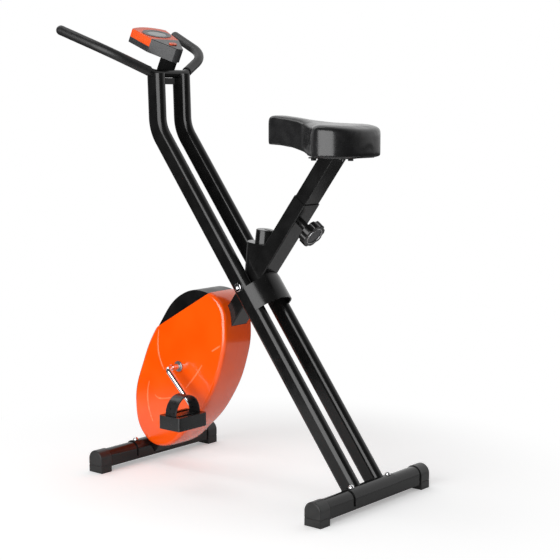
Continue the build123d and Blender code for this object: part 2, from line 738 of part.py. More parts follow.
def above_cut(drop):
    low = cover_point(cover_cut_low) - cut_up * drop
    reach = cut_run * stabiliser_spacing
    lift = cut_up * stabiliser_spacing
    corners = [low - reach, low + reach, low + reach + lift, low - reach + lift]
    return slab(make_face(Polyline(*corners, close=True)), -2 * cover_half, 2 * cover_half)


def screw_boss_rods(radius, low, high):
    return [rod(*on_leg(*place), radius, low, high) for place in screw_places]


leg_passage = leg_bar(leg_width + 2 * cover_gap, leg_depth + 2 * cover_gap, -leg_reach, sleeve_rise,
                      leg_corner)
half_cover = egg_body(0) - egg_body(cover_wall)
half_cover += screw_boss_rods(screw_boss, 0, cover_half - cover_wall)
half_cover -= above_cut(0) + leg_passage
left_cover = half_cover - rod(crank_x, crank_height, cup_flange + cover_gap, 0, 2 * cover_half)
parts["cover_left"] = mirrored(left_cover)
right_cover = half_cover - rod(crank_x, crank_height, spindle_radius + cover_gap, 0, 2 * cover_half)
screw_floor = cover_half - screw_sink
right_cover -= screw_boss_rods(screw_shank + weld_gap, screw_floor - screw_length, cover_half)
parts["cover_right"] = right_cover - screw_boss_rods(screw_head + weld_gap, screw_floor, cover_half)
heads = screw_boss_rods(screw_head, screw_floor, cover_half)
shanks = screw_boss_rods(screw_shank, screw_floor - screw_length, screw_floor)
parts["cover_screws"] = Compound(children=[head + shank for head, shank in zip(heads, shanks)])

# Flywheel guard: the black inner drum that closes the slanted opening, tucked under both shells
guard_inset = cover_wall + guard_gap
half_guard = egg_body(guard_inset) - egg_body(guard_inset + guard_wall)
half_guard = (half_guard & above_cut(guard_tuck)) - leg_passage
parts["flywheel_guard"] = half_guard + mirrored(half_guard)


# Seat: a rectangular post that telescopes in the sleeve, a plate, a moulded pan and a foam saddle
seat_underside = pivot_height + seat_rise
post_width = leg_width - 2 * (leg_wall + post_gap)
post_depth = leg_depth - 2 * (leg_wall + post_gap)
post_top = (seat_rise - seat_plate_wall) / math.sin(lean)
post_end = post_top + leg_depth
post = leg_bar(post_width, post_depth, post_start, post_end, leg_corner - leg_wall)
post -= leg_bar(post_width - 2 * post_wall, post_depth - 2 * post_wall, post_start, post_end, post_corner)
post -= Pos(pivot_x, 0, seat_underside - seat_plate_wall) * Box(
    4 * post_top, 4 * post_width, post_top, align=on_base)
for step in range(-raise_steps, lower_steps + 1):
    post -= normal_rod(pin_rise + step * hole_pitch, hole_radius, 0, post_depth)
parts["seat_post"] = post

seat_plate_x = post_top * math.cos(lean)
plate = Pos(pivot_x + seat_plate_x, 0, seat_underside) * Box(
    seat_plate_length, seat_plate_width, seat_plate_wall, align=(Align.CENTER, Align.CENTER, Align.MAX))
plate = fillet(plate.edges().filter_by(Axis.Z), seat_plate_corner)
bolt_places = [(sx * seat_bolt_spread_x, sy * seat_bolt_spread_y) for sx in (-1, 1) for sy in (-1, 1)]
bolts = []
for dx, dy in bolt_places:
    spot = Pos(pivot_x + seat_plate_x + dx, dy, seat_underside)
    plate -= spot * Cylinder(seat_bolt_radius + weld_gap, 4 * seat_plate_wall)
    shank = Cylinder(seat_bolt_radius, seat_plate_wall, align=(Align.CENTER, Align.CENTER, Align.MAX))
    head = Pos(0, 0, -seat_plate_wall) * extrude(RegularPolygon(seat_bolt_head, 6), -seat_bolt_head_height)
    bolts.append(spot * (shank + head))
parts["seat_plate"] = plate
parts["seat_bolts"] = Compound(children=bolts)


def seat_section(x, half, low, side, top):
    frame = Plane((pivot_x + x, 0, 0), x_dir=(0, 1, 0), z_dir=(1, 0, 0))
    foot = half * seat_tuck
    brow = half * seat_brow
    middle = (low + side) / 2
    loop = (Line((-foot, low), (foot, low)) + ThreePointArc((foot, low), (half, middle), (brow, side))
            + ThreePointArc((brow, side), (0, top), (-brow, side))
            + ThreePointArc((-brow, side), (-half, middle), (-foot, low)))
    return frame * make_face(loop)


def seat_pan_section(x, half, low):
    frame = Plane((pivot_x + x, 0, 0), x_dir=(0, 1, 0), z_dir=(1, 0, 0))
    width = 2 * half * seat_pan_share
    return frame * Pos(0, low + seat_base_wall / 2) * Rectangle(width, seat_base_wall)


pad = []
pan = []
for behind_nose, half, low, high in seat_sections:
    x = seat_plate_x - nose_lead + behind_nose
    under = seat_underside + low
    top = seat_underside + high
    pad.append(seat_section(x, half, under + seat_base_wall + swing_gap, top - seat_crown, top))
    pan.append(seat_pan_section(x, half, under))
parts["seat_pad"] = loft(pad)
parts["seat_pan"] = loft(pan) - Pos(pivot_x, 0, seat_underside) * Box(
    stabiliser_spacing, stabiliser_length, seat_base_wall, align=(Align.CENTER, Align.CENTER, Align.MAX))

# Pull pin with its lobed knob. At rest it is drawn out, with the tip level with the sleeve's inside
knob_back = pin_knob_reach - pin_knob_width
pin_tip = leg_depth / 2 - leg_wall + swing_gap
parts["pull_pin"] = normal_rod(pin_rise, pin_radius, pin_tip, knob_back + pin_knob_width / 2)
knob_frame = leg_frame * Pos(0, 0, pin_rise) * Rot(90, 0, 0) * Pos(0, 0, knob_back)
scallop = Pos(pin_knob_radius + pin_scallop_offset, 0) * Circle(pin_scallop)
knob_plan = Circle(pin_knob_radius)
knob_plan -= [Rot(0, 0, 360 * i / pin_knob_lobes) * scallop for i in range(pin_knob_lobes)]
grip = extrude(knob_plan, pin_knob_width)
knob_ends = grip.faces().sort_by(Axis.Z)
grip = fillet(knob_ends[0].edges() + knob_ends[-1].edges(), pin_knob_round)
grip -= Pos(0, 0, pin_knob_width - pin_disc_depth) * Cylinder(
    pin_disc_radius + weld_gap, pin_disc_depth, align=on_base)
grip -= Cylinder(pin_radius + weld_gap, pin_knob_width + 2 * weld_gap)
disc = Pos(0, 0, pin_knob_width - pin_disc_depth) * Cylinder(
    pin_disc_radius, pin_disc_depth, align=on_base)
disc -= Pos(0, 0, pin_knob_width - pin_disc_depth / 2) * Cylinder(
    pin_disc_radius - pin_disc_rim, pin_disc_depth, align=on_base)
parts["pin_knob"] = knob_frame * grip
parts["pin_disc"] = knob_frame * disc


# Foam grips, one over each horn of the handlebar
def foam_grip():
    start = corner_right + (bend_right - corner_right).normalized() * grip_start
    path = FilletPolyline(start, bend_right, tip_right, radius=[horn_bend_radius])
    section = Circle(grip_radius) - Circle(bar_radius + grip_gap)
    sleeve = sweep(Plane(start, z_dir=bend_right - start) * section, path=path)
    nose = Plane(tip_right, z_dir=tip_right - bend_right) * Sphere(
        grip_radius, arc_size1=0, align=on_base)
    return sleeve + nose


parts["grip_right"] = foam_grip()
parts["grip_left"] = mirrored(foam_grip())

# Console: a shield-shaped case that slopes towards the rider, with a front cover, window and button
tilt = math.radians(console_tilt)
console_frame = Plane(at(bar_x - console_lead, 0, bar_height + console_rise),
                      x_dir=(math.cos(tilt), 0, -math.sin(tilt)),
                      z_dir=(math.sin(tilt), 0, math.cos(tilt)))


def console_plan(inset):
    front = inset - console_front
    side = console_front_half - inset
    line = console_line_half - inset
    rear = console_rear - inset
    tip = console_tip_half - inset / 2
    loop = (ThreePointArc((front, side), (front - console_bulge, 0), (front, -side))
            + Polyline((front, -side), (0, -line), (rear, -tip))
            + ThreePointArc((rear, -tip), (rear + tip / 3, 0), (rear, tip))
            + Polyline((rear, tip), (0, line), (front, side)))
    return make_face(loop)


case = extrude(Pos(0, 0, -console_depth) * console_plan(0), console_depth)
case = fillet(case.edges().filter_by(Axis.Z), console_corner)
case = fillet(case.faces().sort_by(Axis.Z)[-1].edges(), console_corner / 2)
hollow = Pos(0, 0, console_wall - console_depth) * console_plan(console_wall)
case -= extrude(hollow, console_depth - 2 * console_wall)
front_block = Pos(-console_front, 0, -console_cover_depth) * Box(
    2 * console_front, 4 * console_front_half, 2 * console_cover_depth, align=on_base)


def oval(length, width, low, high):
    return extrude(Pos(0, 0, low) * SlotOverall(width, length, rotation=90), high - low)


def window_oval(share, gap, low, high):
    rim = Ellipse(lens_length / 2 * share - gap, lens_width / 2 * share - gap)
    return Pos(lens_place, 0, 0) * extrude(Pos(0, 0, low) * rim, high - low)


bezel = window_oval(1, 0, 0, lens_proud) - window_oval(bezel_share, 0, -lens_proud, lens_proud)
lens = window_oval(bezel_share, weld_gap, -console_wall, lens_proud / 2)
button_hole = Pos(button_place, 0, 0) * oval(button_length + 2 * console_gap, button_width + 2 * console_gap,
                                             -2 * console_wall, console_wall)
window = window_oval(bezel_share, 0, -2 * console_wall, lens_proud)
parts["console_cover"] = console_frame * ((case & front_block) - window)
parts["console_case"] = console_frame * (case - front_block - button_hole)
parts["console_bezel"] = console_frame * bezel
parts["console_lens"] = console_frame * lens
parts["console_button"] = console_frame * Pos(button_place, 0, 0) * (
    oval(button_length, button_width, -console_wall, button_proud))

bar_in_console = console_frame.to_local_coords(at(bar_x, 0, bar_height))
neck_bottom = bar_in_console.Z - neck_foot
neck = Pos(bar_in_console.X - neck_lead, 0, neck_bottom) * Box(
    neck_depth, neck_width, -console_depth - neck_bottom, align=on_base)
parts["console_neck"] = console_frame * neck - bar_sweep(bar_radius + weld_gap)


for node, solid in parts.items():
    export_step(solid, f"parts/{node}.step")
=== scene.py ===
import bmesh
import bpy
import json
import math
from mathutils import Matrix, Vector


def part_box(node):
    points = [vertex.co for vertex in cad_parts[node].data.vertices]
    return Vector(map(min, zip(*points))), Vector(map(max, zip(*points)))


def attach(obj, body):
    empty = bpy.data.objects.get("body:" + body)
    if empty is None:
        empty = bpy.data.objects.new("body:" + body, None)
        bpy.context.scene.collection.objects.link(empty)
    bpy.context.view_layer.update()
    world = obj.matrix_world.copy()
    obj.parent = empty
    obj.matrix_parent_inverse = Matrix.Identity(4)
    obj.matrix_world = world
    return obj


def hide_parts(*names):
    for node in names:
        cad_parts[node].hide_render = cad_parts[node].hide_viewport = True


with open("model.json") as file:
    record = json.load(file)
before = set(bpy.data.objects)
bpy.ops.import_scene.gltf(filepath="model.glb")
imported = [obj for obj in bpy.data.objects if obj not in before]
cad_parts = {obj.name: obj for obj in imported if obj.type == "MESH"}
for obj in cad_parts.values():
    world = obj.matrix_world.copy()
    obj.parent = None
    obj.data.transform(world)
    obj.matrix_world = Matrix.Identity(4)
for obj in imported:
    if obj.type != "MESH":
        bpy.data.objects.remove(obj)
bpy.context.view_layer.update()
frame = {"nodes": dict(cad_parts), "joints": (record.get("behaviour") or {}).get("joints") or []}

# Crossed frame: a straight box-section leg and two bent oval tubes, all of welded steel.
# Every tube, plate and stub is powder coated in one satin black with a fine orange-peel skin.
crease_angle = 28
weld_distance = 2e-6
flat_angle = 0.3
corner_angle = 40


def set_range(node, low, high, to_low, to_high):
    node.inputs["From Min"].default_value = low
    node.inputs["From Max"].default_value = high
    node.inputs["To Min"].default_value = to_low
    node.inputs["To Max"].default_value = to_high


def mottled_finish(name, dark, light, rough, mottle, skin_scale, skin_depth, cells=False,
                   metallic=0, specular=0.5, coat=0, coat_rough=0.03):
    material = bpy.data.materials.new(name)
    material.use_nodes = True
    tree = material.node_tree
    shader = tree.nodes["Principled BSDF"]
    shader.inputs["Metallic"].default_value = metallic
    shader.inputs["Specular IOR Level"].default_value = specular
    shader.inputs["Coat Weight"].default_value = coat
    shader.inputs["Coat Roughness"].default_value = coat_rough
    place = tree.nodes.new("ShaderNodeTexCoord").outputs["Object"]
    cloud = tree.nodes.new("ShaderNodeTexNoise")
    cloud.inputs["Scale"].default_value = mottle
    cloud.inputs["Detail"].default_value = 1
    tree.links.new(place, cloud.inputs["Vector"])
    tint = tree.nodes.new("ShaderNodeValToRGB")
    tint_stops = (0.32, 0.68)
    for stop, position, colour in zip(tint.color_ramp.elements, tint_stops, (dark, light)):
        stop.position = position
        stop.color = (*colour, 1)
    tree.links.new(cloud.outputs["Fac"], tint.inputs["Fac"])
    tree.links.new(tint.outputs["Color"], shader.inputs["Base Color"])
    gloss = tree.nodes.new("ShaderNodeMapRange")
    gloss_stops = (0.3, 0.7)
    set_range(gloss, *gloss_stops, *rough)
    tree.links.new(cloud.outputs["Fac"], gloss.inputs["Value"])
    tree.links.new(gloss.outputs["Result"], shader.inputs["Roughness"])
    skin = tree.nodes.new("ShaderNodeTexVoronoi" if cells else "ShaderNodeTexNoise")
    skin.inputs["Scale"].default_value = skin_scale
    skin.inputs["Detail"].default_value = 1
    tree.links.new(place, skin.inputs["Vector"])
    bump = tree.nodes.new("ShaderNodeBump")
    bump.inputs["Strength"].default_value = 1
    bump.inputs["Distance"].default_value = skin_depth
    tree.links.new(skin.outputs["Distance" if cells else "Fac"], bump.inputs["Height"])
    tree.links.new(bump.outputs["Normal"], shader.inputs["Normal"])
    return material


def make_piece(name, bm, material, body, slot, *nodes):
    mesh = bpy.data.meshes.new(name)
    bm.to_mesh(mesh)
    bm.free()
    mesh.materials.append(material)
    piece = bpy.data.objects.new(name, mesh)
    bpy.context.scene.collection.objects.link(piece)
    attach(piece, body)
    if nodes:
        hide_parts(*nodes)
    return piece


def smooth_by_angle(bm, degrees):
    for face in bm.faces:
        face.smooth = True
    for edge in bm.edges:
        edge.smooth = edge.is_manifold and edge.calc_face_angle(0) < math.radians(degrees)


def even_normals(piece):
    piece.modifiers.new("even_normals", "WEIGHTED_NORMAL").keep_sharp = True


def dress_node(node, material, body, slot, crease=crease_angle, edge_round=0):
    bm = bmesh.new()
    bm.from_mesh(frame["nodes"][node].data)
    bmesh.ops.remove_doubles(bm, verts=bm.verts, dist=weld_distance)
    bmesh.ops.dissolve_limit(bm, angle_limit=math.radians(flat_angle), verts=bm.verts, edges=bm.edges)
    smooth_by_angle(bm, crease)
    piece = make_piece(node + "_dressed", bm, material, body, slot, node)
    if edge_round:
        bevel = piece.modifiers.new("edge_round", "BEVEL")
        bevel.width = edge_round
        bevel.segments = 2
        bevel.limit_method = "ANGLE"
        bevel.angle_limit = math.radians(corner_angle)
        bevel.harden_normals = True
    even_normals(piece)
    return piece


frame_black = mottled_finish("frame_black", dark=(0.006, 0.006, 0.006), light=(0.009, 0.009, 0.009),
                             rough=(0.16, 0.2), mottle=30, skin_scale=900, skin_depth=1e-6, specular=0.4)
front_frame_nodes = ("front_leg", "stop_saddle", "tension_stub", "pin_boss", "crank_shell",
                     "flywheel_hub", "brake_plate")
for node in front_frame_nodes:
    dress_node(node, frame_black, "front_frame", "frame_paint")
for node in ("tube_left", "tube_right", "cross_plate", "console_neck"):
    dress_node(node, frame_black, "rear_frame", "frame_paint")

# Stabilisers: arched steel tubes across the floor, each held to the frame by a folded saddle plate.
# Two chromed carriage bolts go through each plate. The end caps are pushed-on black plastic feet.
cap_black = mottled_finish("cap_black", dark=(0.012, 0.012, 0.012), light=(0.018, 0.018, 0.018),
                           rough=(0.3, 0.4), mottle=60, skin_scale=900, skin_depth=1e-5)
chrome = mottled_finish("chrome", dark=(0.8, 0.8, 0.81), light=(0.88, 0.88, 0.89),
                        rough=(0.06, 0.1), mottle=40, skin_scale=300, skin_depth=2e-7, metallic=1)
for end in ("front", "rear"):
    body = end + "_frame"
    dress_node(end + "_stabiliser", frame_black, body, "frame_paint")
    dress_node(end + "_saddle_plate", frame_black, body, "frame_paint")
    dress_node(end + "_saddle_bolts", chrome, body, "chrome")
    for side in ("left", "right"):
        dress_node(f"{end}_cap_{side}", cap_black, body, "cap_plastic")

# Fold pivot: a socket-head bolt through both oval tubes and a turned sleeve in the leg,
# with a domed nut on the far side. Bolt and nut are chromed, the sleeve is zinc plated.
zinc = mottled_finish("zinc", dark=(0.5, 0.5, 0.52), light=(0.64, 0.64, 0.64),
                      rough=(0.25, 0.4), mottle=80, skin_scale=500, skin_depth=1e-5, metallic=1)
for node in ("pivot_bolt", "pivot_nut"):
    dress_node(node, chrome, "rear_frame", "chrome")
dress_node("pivot_sleeve", zinc, "front_frame", "zinc_steel")

# Drive cover: two thin halves injection moulded in gloss orange plastic, which meet on the bike's middle.
# Both have one egg outline with a soft shoulder, a slanted cut at the top front, and raised flowing lines.
# The knots of the outline and of the lines are places along the bike and above the floor.
egg = [(-0.2400, 0.3650), (-0.2919, 0.270), (-0.3239, 0.150), (-0.2929, 0.065),
       (-0.2279, 0.045), (-0.1359, 0.103), (-0.0609, 0.190), (-0.0159, 0.288),
       (-0.0029, 0.372), (-0.0189, 0.438), (-0.0709, 0.467), (-0.1540, 0.4555)]
egg_steps = 12
cover_depth = 0.052
cover_shoulder = 0.009
shoulder_steps = 10
cover_draft = 0.003
cover_draft_depth = 0.026
cover_wall = 0.0025
half_seam = 0.00005
cover_crease = 30
cut_low = Vector((-0.2259, 0, 0.364))
cut_high = Vector((-0.0499, 0, 0.465))
joints = {joint["name"]: joint for joint in frame["joints"]}
leg_pivot = Vector(joints["fold"]["pos_m"])
leg_run = 0.3475
leg_rise = 0.4645
leg_lean = math.atan2(leg_run, leg_rise)
passage_size = (0.058, 0.041, 1.2)
crank_middle = Vector(joints["crank_turn"]["pos_m"])
crank_hole_radius = {"left": 0.014, "right": 0.0085}
crank_hole_depth = 0.06
crank_hole_sides = 48
line_radius = 0.007
line_rise = 0.0006
line_end = 0.4
line_crease = 60
cover_lines = [
    [(-0.2305, 0.351), (-0.236, 0.318), (-0.2341, 0.2905), (-0.2237, 0.2658), (-0.2119, 0.2492)],
    [(-0.266, 0.2148), (-0.2733, 0.1941), (-0.2751, 0.1728), (-0.271, 0.1391), (-0.2551, 0.1085)],
    [(-0.2477, 0.1819), (-0.2414, 0.1749), (-0.2288, 0.1725), (-0.2109, 0.175), (-0.1895, 0.1812)],
    [(-0.0811, 0.2784), (-0.0966, 0.2562), (-0.1157, 0.236), (-0.1366, 0.2127)],
    [(-0.0195, 0.334), (-0.0325, 0.3262), (-0.0489, 0.3163)]]


def bake(piece):
    bpy.context.view_layer.update()
    shown = piece.evaluated_get(bpy.context.evaluated_depsgraph_get())
    mesh = bpy.data.meshes.new_from_object(shown)
    piece.modifiers.clear()
    return mesh


def mesh_of(curve):
    holder = bpy.data.objects.new(curve.name, curve)
    bpy.context.scene.collection.objects.link(holder)
    mesh = bake(holder)
    bpy.data.objects.remove(holder)
    return mesh


def closed_line(name, points, steps):
    curve = bpy.data.curves.new(name, "CURVE")
    curve.dimensions = "3D"
    spline = curve.splines.new("BEZIER")
    spline.bezier_points.add(len(points) - 1)
    for knot, point in zip(spline.bezier_points, points):
        knot.co = point
        knot.handle_left_type = knot.handle_right_type = "AUTO"
    spline.use_cyclic_u = True
    spline.resolution_u = steps
    return mesh_of(curve)


egg_ring = closed_line("egg_line", [(x, 0, z) for x, z in egg], egg_steps)


def moved_verts(grown):
    return [part for part in grown if isinstance(part, bmesh.types.BMVert)]


def egg_shell(side, depth, shoulder, wall, inset=0, draft=0, below_cut=0, keep_above=False):
    bm = bmesh.new()
    bm.from_mesh(egg_ring)
    face = bmesh.ops.contextual_create(bm, geom=bm.edges[:])["faces"][0]
    if inset:
        border = bmesh.ops.inset_region(bm, faces=[face], thickness=inset, use_boundary=True,
                                        use_even_offset=True)
        bmesh.ops.delete(bm, geom=border["faces"], context="FACES")
    bmesh.ops.translate(bm, verts=bm.verts, vec=(0, side * half_seam, 0))
    grown = bmesh.ops.extrude_face_region(bm, geom=[face])["geom"]
    straight = depth - half_seam - (cover_draft_depth if draft else 0)
    bmesh.ops.translate(bm, verts=moved_verts(grown), vec=(0, side * straight, 0))
    bmesh.ops.delete(bm, geom=[face], context="FACES_ONLY")
    bmesh.ops.recalc_face_normals(bm, faces=bm.faces)
    front = max(bm.faces, key=lambda f: f.calc_area())
    if front.normal.y * side < 0:
        bmesh.ops.reverse_faces(bm, faces=bm.faces)
    if draft:
        bmesh.ops.inset_region(bm, faces=[front], thickness=draft, depth=cover_draft_depth,
                               use_even_offset=True)
    bmesh.ops.bevel(bm, geom=front.edges[:], offset=shoulder, offset_type="OFFSET",
                    segments=shoulder_steps, profile=0.5, affect="EDGES", material=-1)
    run = (cut_high - cut_low).normalized()
    up = Vector((-run.z, 0, run.x))
    bmesh.ops.bisect_plane(bm, geom=bm.verts[:] + bm.edges[:] + bm.faces[:],
                           plane_co=cut_low - up * below_cut, plane_no=up,
                           clear_outer=not keep_above, clear_inner=keep_above)
    bmesh.ops.solidify(bm, geom=bm.faces[:], thickness=wall)
    return bm


def cut_away(piece, cutter_bm):
    mesh = bpy.data.meshes.new("cutter")
    cutter_bm.to_mesh(mesh)
    cutter_bm.free()
    cutter = bpy.data.objects.new("cutter", mesh)
    bpy.context.scene.collection.objects.link(cutter)
    trim = piece.modifiers.new("trim", "BOOLEAN")
    trim.object = cutter
    trim.solver = "EXACT"
    piece.data = bake(piece)
    bpy.data.objects.remove(cutter)


def leg_passage():
    bm = bmesh.new()
    bmesh.ops.create_cube(bm, size=1)
    bmesh.ops.scale(bm, verts=bm.verts, vec=passage_size)
    lean = Matrix.Rotation(leg_lean, 4, "Y") @ Matrix.Rotation(math.pi / 2, 4, "Z")
    bmesh.ops.transform(bm, matrix=Matrix.Translation(leg_pivot) @ lean, verts=bm.verts)
    return bm


def crank_hole(radius, y):
    bm = bmesh.new()
    middle = Matrix.Translation(crank_middle) @ Matrix.Rotation(math.pi / 2, 4, "X")
    bmesh.ops.create_cone(bm, cap_ends=True, segments=crank_hole_sides, radius1=radius,
                          radius2=radius, depth=crank_hole_depth, matrix=middle)
    bmesh.ops.translate(bm, verts=bm.verts, vec=(0, y, 0))
    return bm


def raised_line(points, side):
    curve = bpy.data.curves.new("raised_line", "CURVE")
    curve.dimensions = "3D"
    curve.bevel_depth = line_radius
    curve.bevel_resolution = 6
    spline = curve.splines.new("NURBS")
    spline.points.add(len(points) - 1)
    for i, (knot, (x, z)) in enumerate(zip(spline.points, points)):
        along = (i + line_end) / (len(points) - 1 + 2 * line_end)
        knot.radius = math.sin(math.pi * along) ** 0.5
        sunk = (line_radius - line_rise) * knot.radius
        knot.co = (x, side * (cover_depth - sunk), z, 1)
    spline.order_u = 4
    spline.use_endpoint_u = True
    return mesh_of(curve)


cover_orange = mottled_finish("cover_orange", dark=(0.88, 0.08, 0.0005), light=(0.93, 0.093, 0.001),
                              rough=(0.14, 0.2), mottle=14, skin_scale=260, skin_depth=6e-6,
                              coat=0.75, coat_rough=0.17)
# The raised lines get a paler orange than the cover: a painted highlight along each line, added to the light
# the ridges catch.
line_orange_painted_highlight = mottled_finish("line_orange_painted_highlight", dark=(0.93, 0.16, 0.045), light=(0.97, 0.19, 0.06),
                             rough=(0.24, 0.3), mottle=60, skin_scale=500, skin_depth=1e-5)
for side, name in ((-1, "left"), (1, "right")):
    node = "cover_" + name
    bm = egg_shell(side, cover_depth, cover_shoulder, cover_wall, draft=cover_draft)
    cover = make_piece(node + "_shell", bm, cover_orange, "front_frame", "cover_orange", node)
    cut_away(cover, leg_passage())
    cut_away(cover, crank_hole(crank_hole_radius[name], side * cover_depth))
    bm = bmesh.new()
    bm.from_mesh(cover.data)
    smooth_by_angle(bm, cover_crease)
    bm.to_mesh(cover.data)
    bm.free()
    even_normals(cover)
    bm = bmesh.new()
    for points in cover_lines:
        bm.from_mesh(raised_line(points, side))
    smooth_by_angle(bm, line_crease)
    make_piece(node + "_lines", bm, line_orange_painted_highlight, "front_frame", "cover_orange")
dress_node("cover_screws", zinc, "front_frame", "zinc_steel")

# Flywheel guard: a black moulded drum behind the slanted cut, of the same outline as the cover.
# It is tucked under both orange halves and held by their screws.
guard_inset = 0.006
guard_depth = 0.0475
guard_shoulder = 0.0016
guard_wall = 0.002
guard_tuck = 0.022
guard_black = mottled_finish("guard_black", dark=(0.0015, 0.0015, 0.0015), light=(0.003, 0.003, 0.003),
                             rough=(0.3, 0.4), mottle=24, skin_scale=800, skin_depth=2e-5, specular=0.3)
for side, name in ((-1, "left"), (1, "right")):
    bm = egg_shell(side, guard_depth, guard_shoulder, guard_wall, inset=guard_inset,
                   below_cut=guard_tuck, keep_above=True)
    smooth_by_angle(bm, cover_crease)
    guard = make_piece(f"guard_{name}_half", bm, guard_black, "front_frame", "guard_black", "flywheel_guard")
    cut_away(guard, leg_passage())
    even_normals(guard)

# Crank: one forged bar bent to two arms, chromed, which turns in two steel cups in the frame's shell.
# A grey lock ring shows round it on the left face of the cover.
bar_crease = 40
lock_ring = mottled_finish("lock_ring", dark=(0.3, 0.31, 0.33), light=(0.42, 0.43, 0.45),
                           rough=(0.3, 0.45), mottle=90, skin_scale=400, skin_depth=2e-5, metallic=1)
dress_node("crank", chrome, "crankset", "chrome", bar_crease)
dress_node("pedal_pins", zinc, "crankset", "zinc_steel")
dress_node("crank_cups", lock_ring, "front_frame", "zinc_steel")

# Belt drive: a moulded pulley on the crank, a small one on the flywheel's axle, and a ribbed belt.
# The turned iron flywheel runs in two bearings, past three magnets on a swinging steel arm.
pulley_black = mottled_finish("pulley_black", dark=(0.045, 0.045, 0.05), light=(0.065, 0.065, 0.07),
                              rough=(0.45, 0.6), mottle=40, skin_scale=500, skin_depth=4e-5)
belt_black = mottled_finish("belt_black", dark=(0.012, 0.012, 0.012), light=(0.02, 0.02, 0.02),
                            rough=(0.7, 0.85), mottle=200, skin_scale=900, skin_depth=1e-4)
iron = mottled_finish("iron", dark=(0.2, 0.2, 0.21), light=(0.3, 0.3, 0.3),
                      rough=(0.3, 0.5), mottle=120, skin_scale=900, skin_depth=4e-5, metallic=1)
dress_node("drive_pulley", pulley_black, "crankset", "drive_plastic")
dress_node("flywheel_pulley", pulley_black, "flywheel_unit", "drive_plastic")
dress_node("drive_belt", belt_black, "front_frame", "belt_rubber")
dress_node("flywheel", iron, "flywheel_unit", "flywheel_iron")
dress_node("flywheel_axle", zinc, "flywheel_unit", "zinc_steel")
dress_node("flywheel_bearings", zinc, "front_frame", "zinc_steel")
dress_node("magnet_arm", iron, "brake_arm", "magnet_steel")
dress_node("brake_magnets", iron, "brake_arm", "magnet_steel")

# Pedals: black moulded blocks with a ribbed tread and open pockets, each on its own pin.
# A rubber strap arches over the shoe, hooked on both ends of the block.
pedal_edge = 0.0008
strap_half_span = 0.0427
strap_rise = 0.047
strap_half_width = 0.0175
strap_thickness = 0.003
strap_edge = 0.0008
strap_crease = 40
strap_steps = 72
half_circle_floor = -0.02
pedal_black = mottled_finish("pedal_black", dark=(0.009, 0.0095, 0.010), light=(0.014, 0.0145, 0.015),
                             rough=(0.2, 0.28), mottle=70, skin_scale=1100, skin_depth=6e-6)
strap_black = mottled_finish("strap_black", dark=(0.009, 0.009, 0.0095), light=(0.014, 0.014, 0.0145),
                             rough=(0.26, 0.34), mottle=90, skin_scale=1400, skin_depth=2e-5)
for side, turn in (("left", 1), ("right", -1)):
    body = side + "_pedal"
    dress_node("pedal_" + side, pedal_black, body, "pedal_plastic", edge_round=pedal_edge)
    low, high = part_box("pedal_strap_" + side)
    foot = low[2] if turn > 0 else high[2]
    first_edge = ((low[0] + high[0]) / 2 - strap_half_width, (low[1] + high[1]) / 2, foot)
    bm = bmesh.new()
    bmesh.ops.create_circle(bm, segments=strap_steps, radius=1, matrix=Matrix.Rotation(math.pi / 2, 4, "Y"))
    bmesh.ops.delete(bm, geom=[v for v in bm.verts if v.co.z < half_circle_floor], context="VERTS")
    bmesh.ops.scale(bm, verts=bm.verts, vec=(1, strap_half_span, turn * strap_rise))
    bmesh.ops.translate(bm, verts=bm.verts, vec=first_edge)
    grown = bmesh.ops.extrude_edge_only(bm, edges=bm.edges[:])["geom"]
    bmesh.ops.translate(bm, verts=moved_verts(grown), vec=(2 * strap_half_width, 0, 0))
    bmesh.ops.recalc_face_normals(bm, faces=bm.faces)
    crest = max(bm.faces, key=lambda f: turn * f.calc_center_median().z)
    if crest.normal.z * turn < 0:
        bmesh.ops.reverse_faces(bm, faces=bm.faces)
    bmesh.ops.solidify(bm, geom=bm.faces[:], thickness=strap_thickness)
    sharp = [e for e in bm.edges if e.calc_face_angle(0) > math.radians(corner_angle)]
    bmesh.ops.bevel(bm, geom=sharp, offset=strap_edge, offset_type="OFFSET", segments=3, profile=0.5,
                    affect="EDGES", material=-1)
    smooth_by_angle(bm, strap_crease)
    strap = make_piece("strap_" + side, bm, strap_black, body, "strap_rubber", "pedal_strap_" + side)
    even_normals(strap)

# Seat post and pull pin: a box tube that telescopes in the leg's sleeve, held by a spring pin.
# The pin has a lobed plastic knob with a bare grey disc let into its face, inside a thin bright ring.
pin_line = Vector(joints["pin_slide"]["axis"])
disc_tilt = math.atan2(pin_line.x, pin_line.z)
disc_ring_rise = 0.0015
disc_ring_radius = 0.0217
disc_ring_thickness = 0.0011
disc_ring_steps = 72
disc_ring_sides = 12
ring_crease = 60
knob_black = mottled_finish("knob_black", dark=(0.005, 0.005, 0.005), light=(0.009, 0.009, 0.009),
                            rough=(0.14, 0.22), mottle=80, skin_scale=900, skin_depth=1e-5)
disc_grey = mottled_finish("disc_grey", dark=(0.05, 0.051, 0.053), light=(0.075, 0.076, 0.08),
                           rough=(0.3, 0.4), mottle=200, skin_scale=900, skin_depth=1e-5)
ring_pale = mottled_finish("ring_pale", dark=(0.5, 0.5, 0.5), light=(0.62, 0.62, 0.62),
                           rough=(0.2, 0.3), mottle=200, skin_scale=900, skin_depth=1e-5, metallic=1)
pin_steel = mottled_finish("pin_steel", dark=(0.02, 0.02, 0.021), light=(0.03, 0.03, 0.031),
                           rough=(0.25, 0.35), mottle=90, skin_scale=600, skin_depth=2e-6)
dress_node("seat_post", frame_black, "seat", "frame_paint")
dress_node("seat_plate", frame_black, "seat", "frame_paint")
dress_node("seat_bolts", chrome, "seat", "zinc_steel")
dress_node("pull_pin", pin_steel, "seat_pin", "zinc_steel")
dress_node("pin_knob", knob_black, "seat_pin", "knob_plastic")
dress_node("pin_disc", disc_grey, "seat_pin", "disc_grey")
bm = bmesh.new()
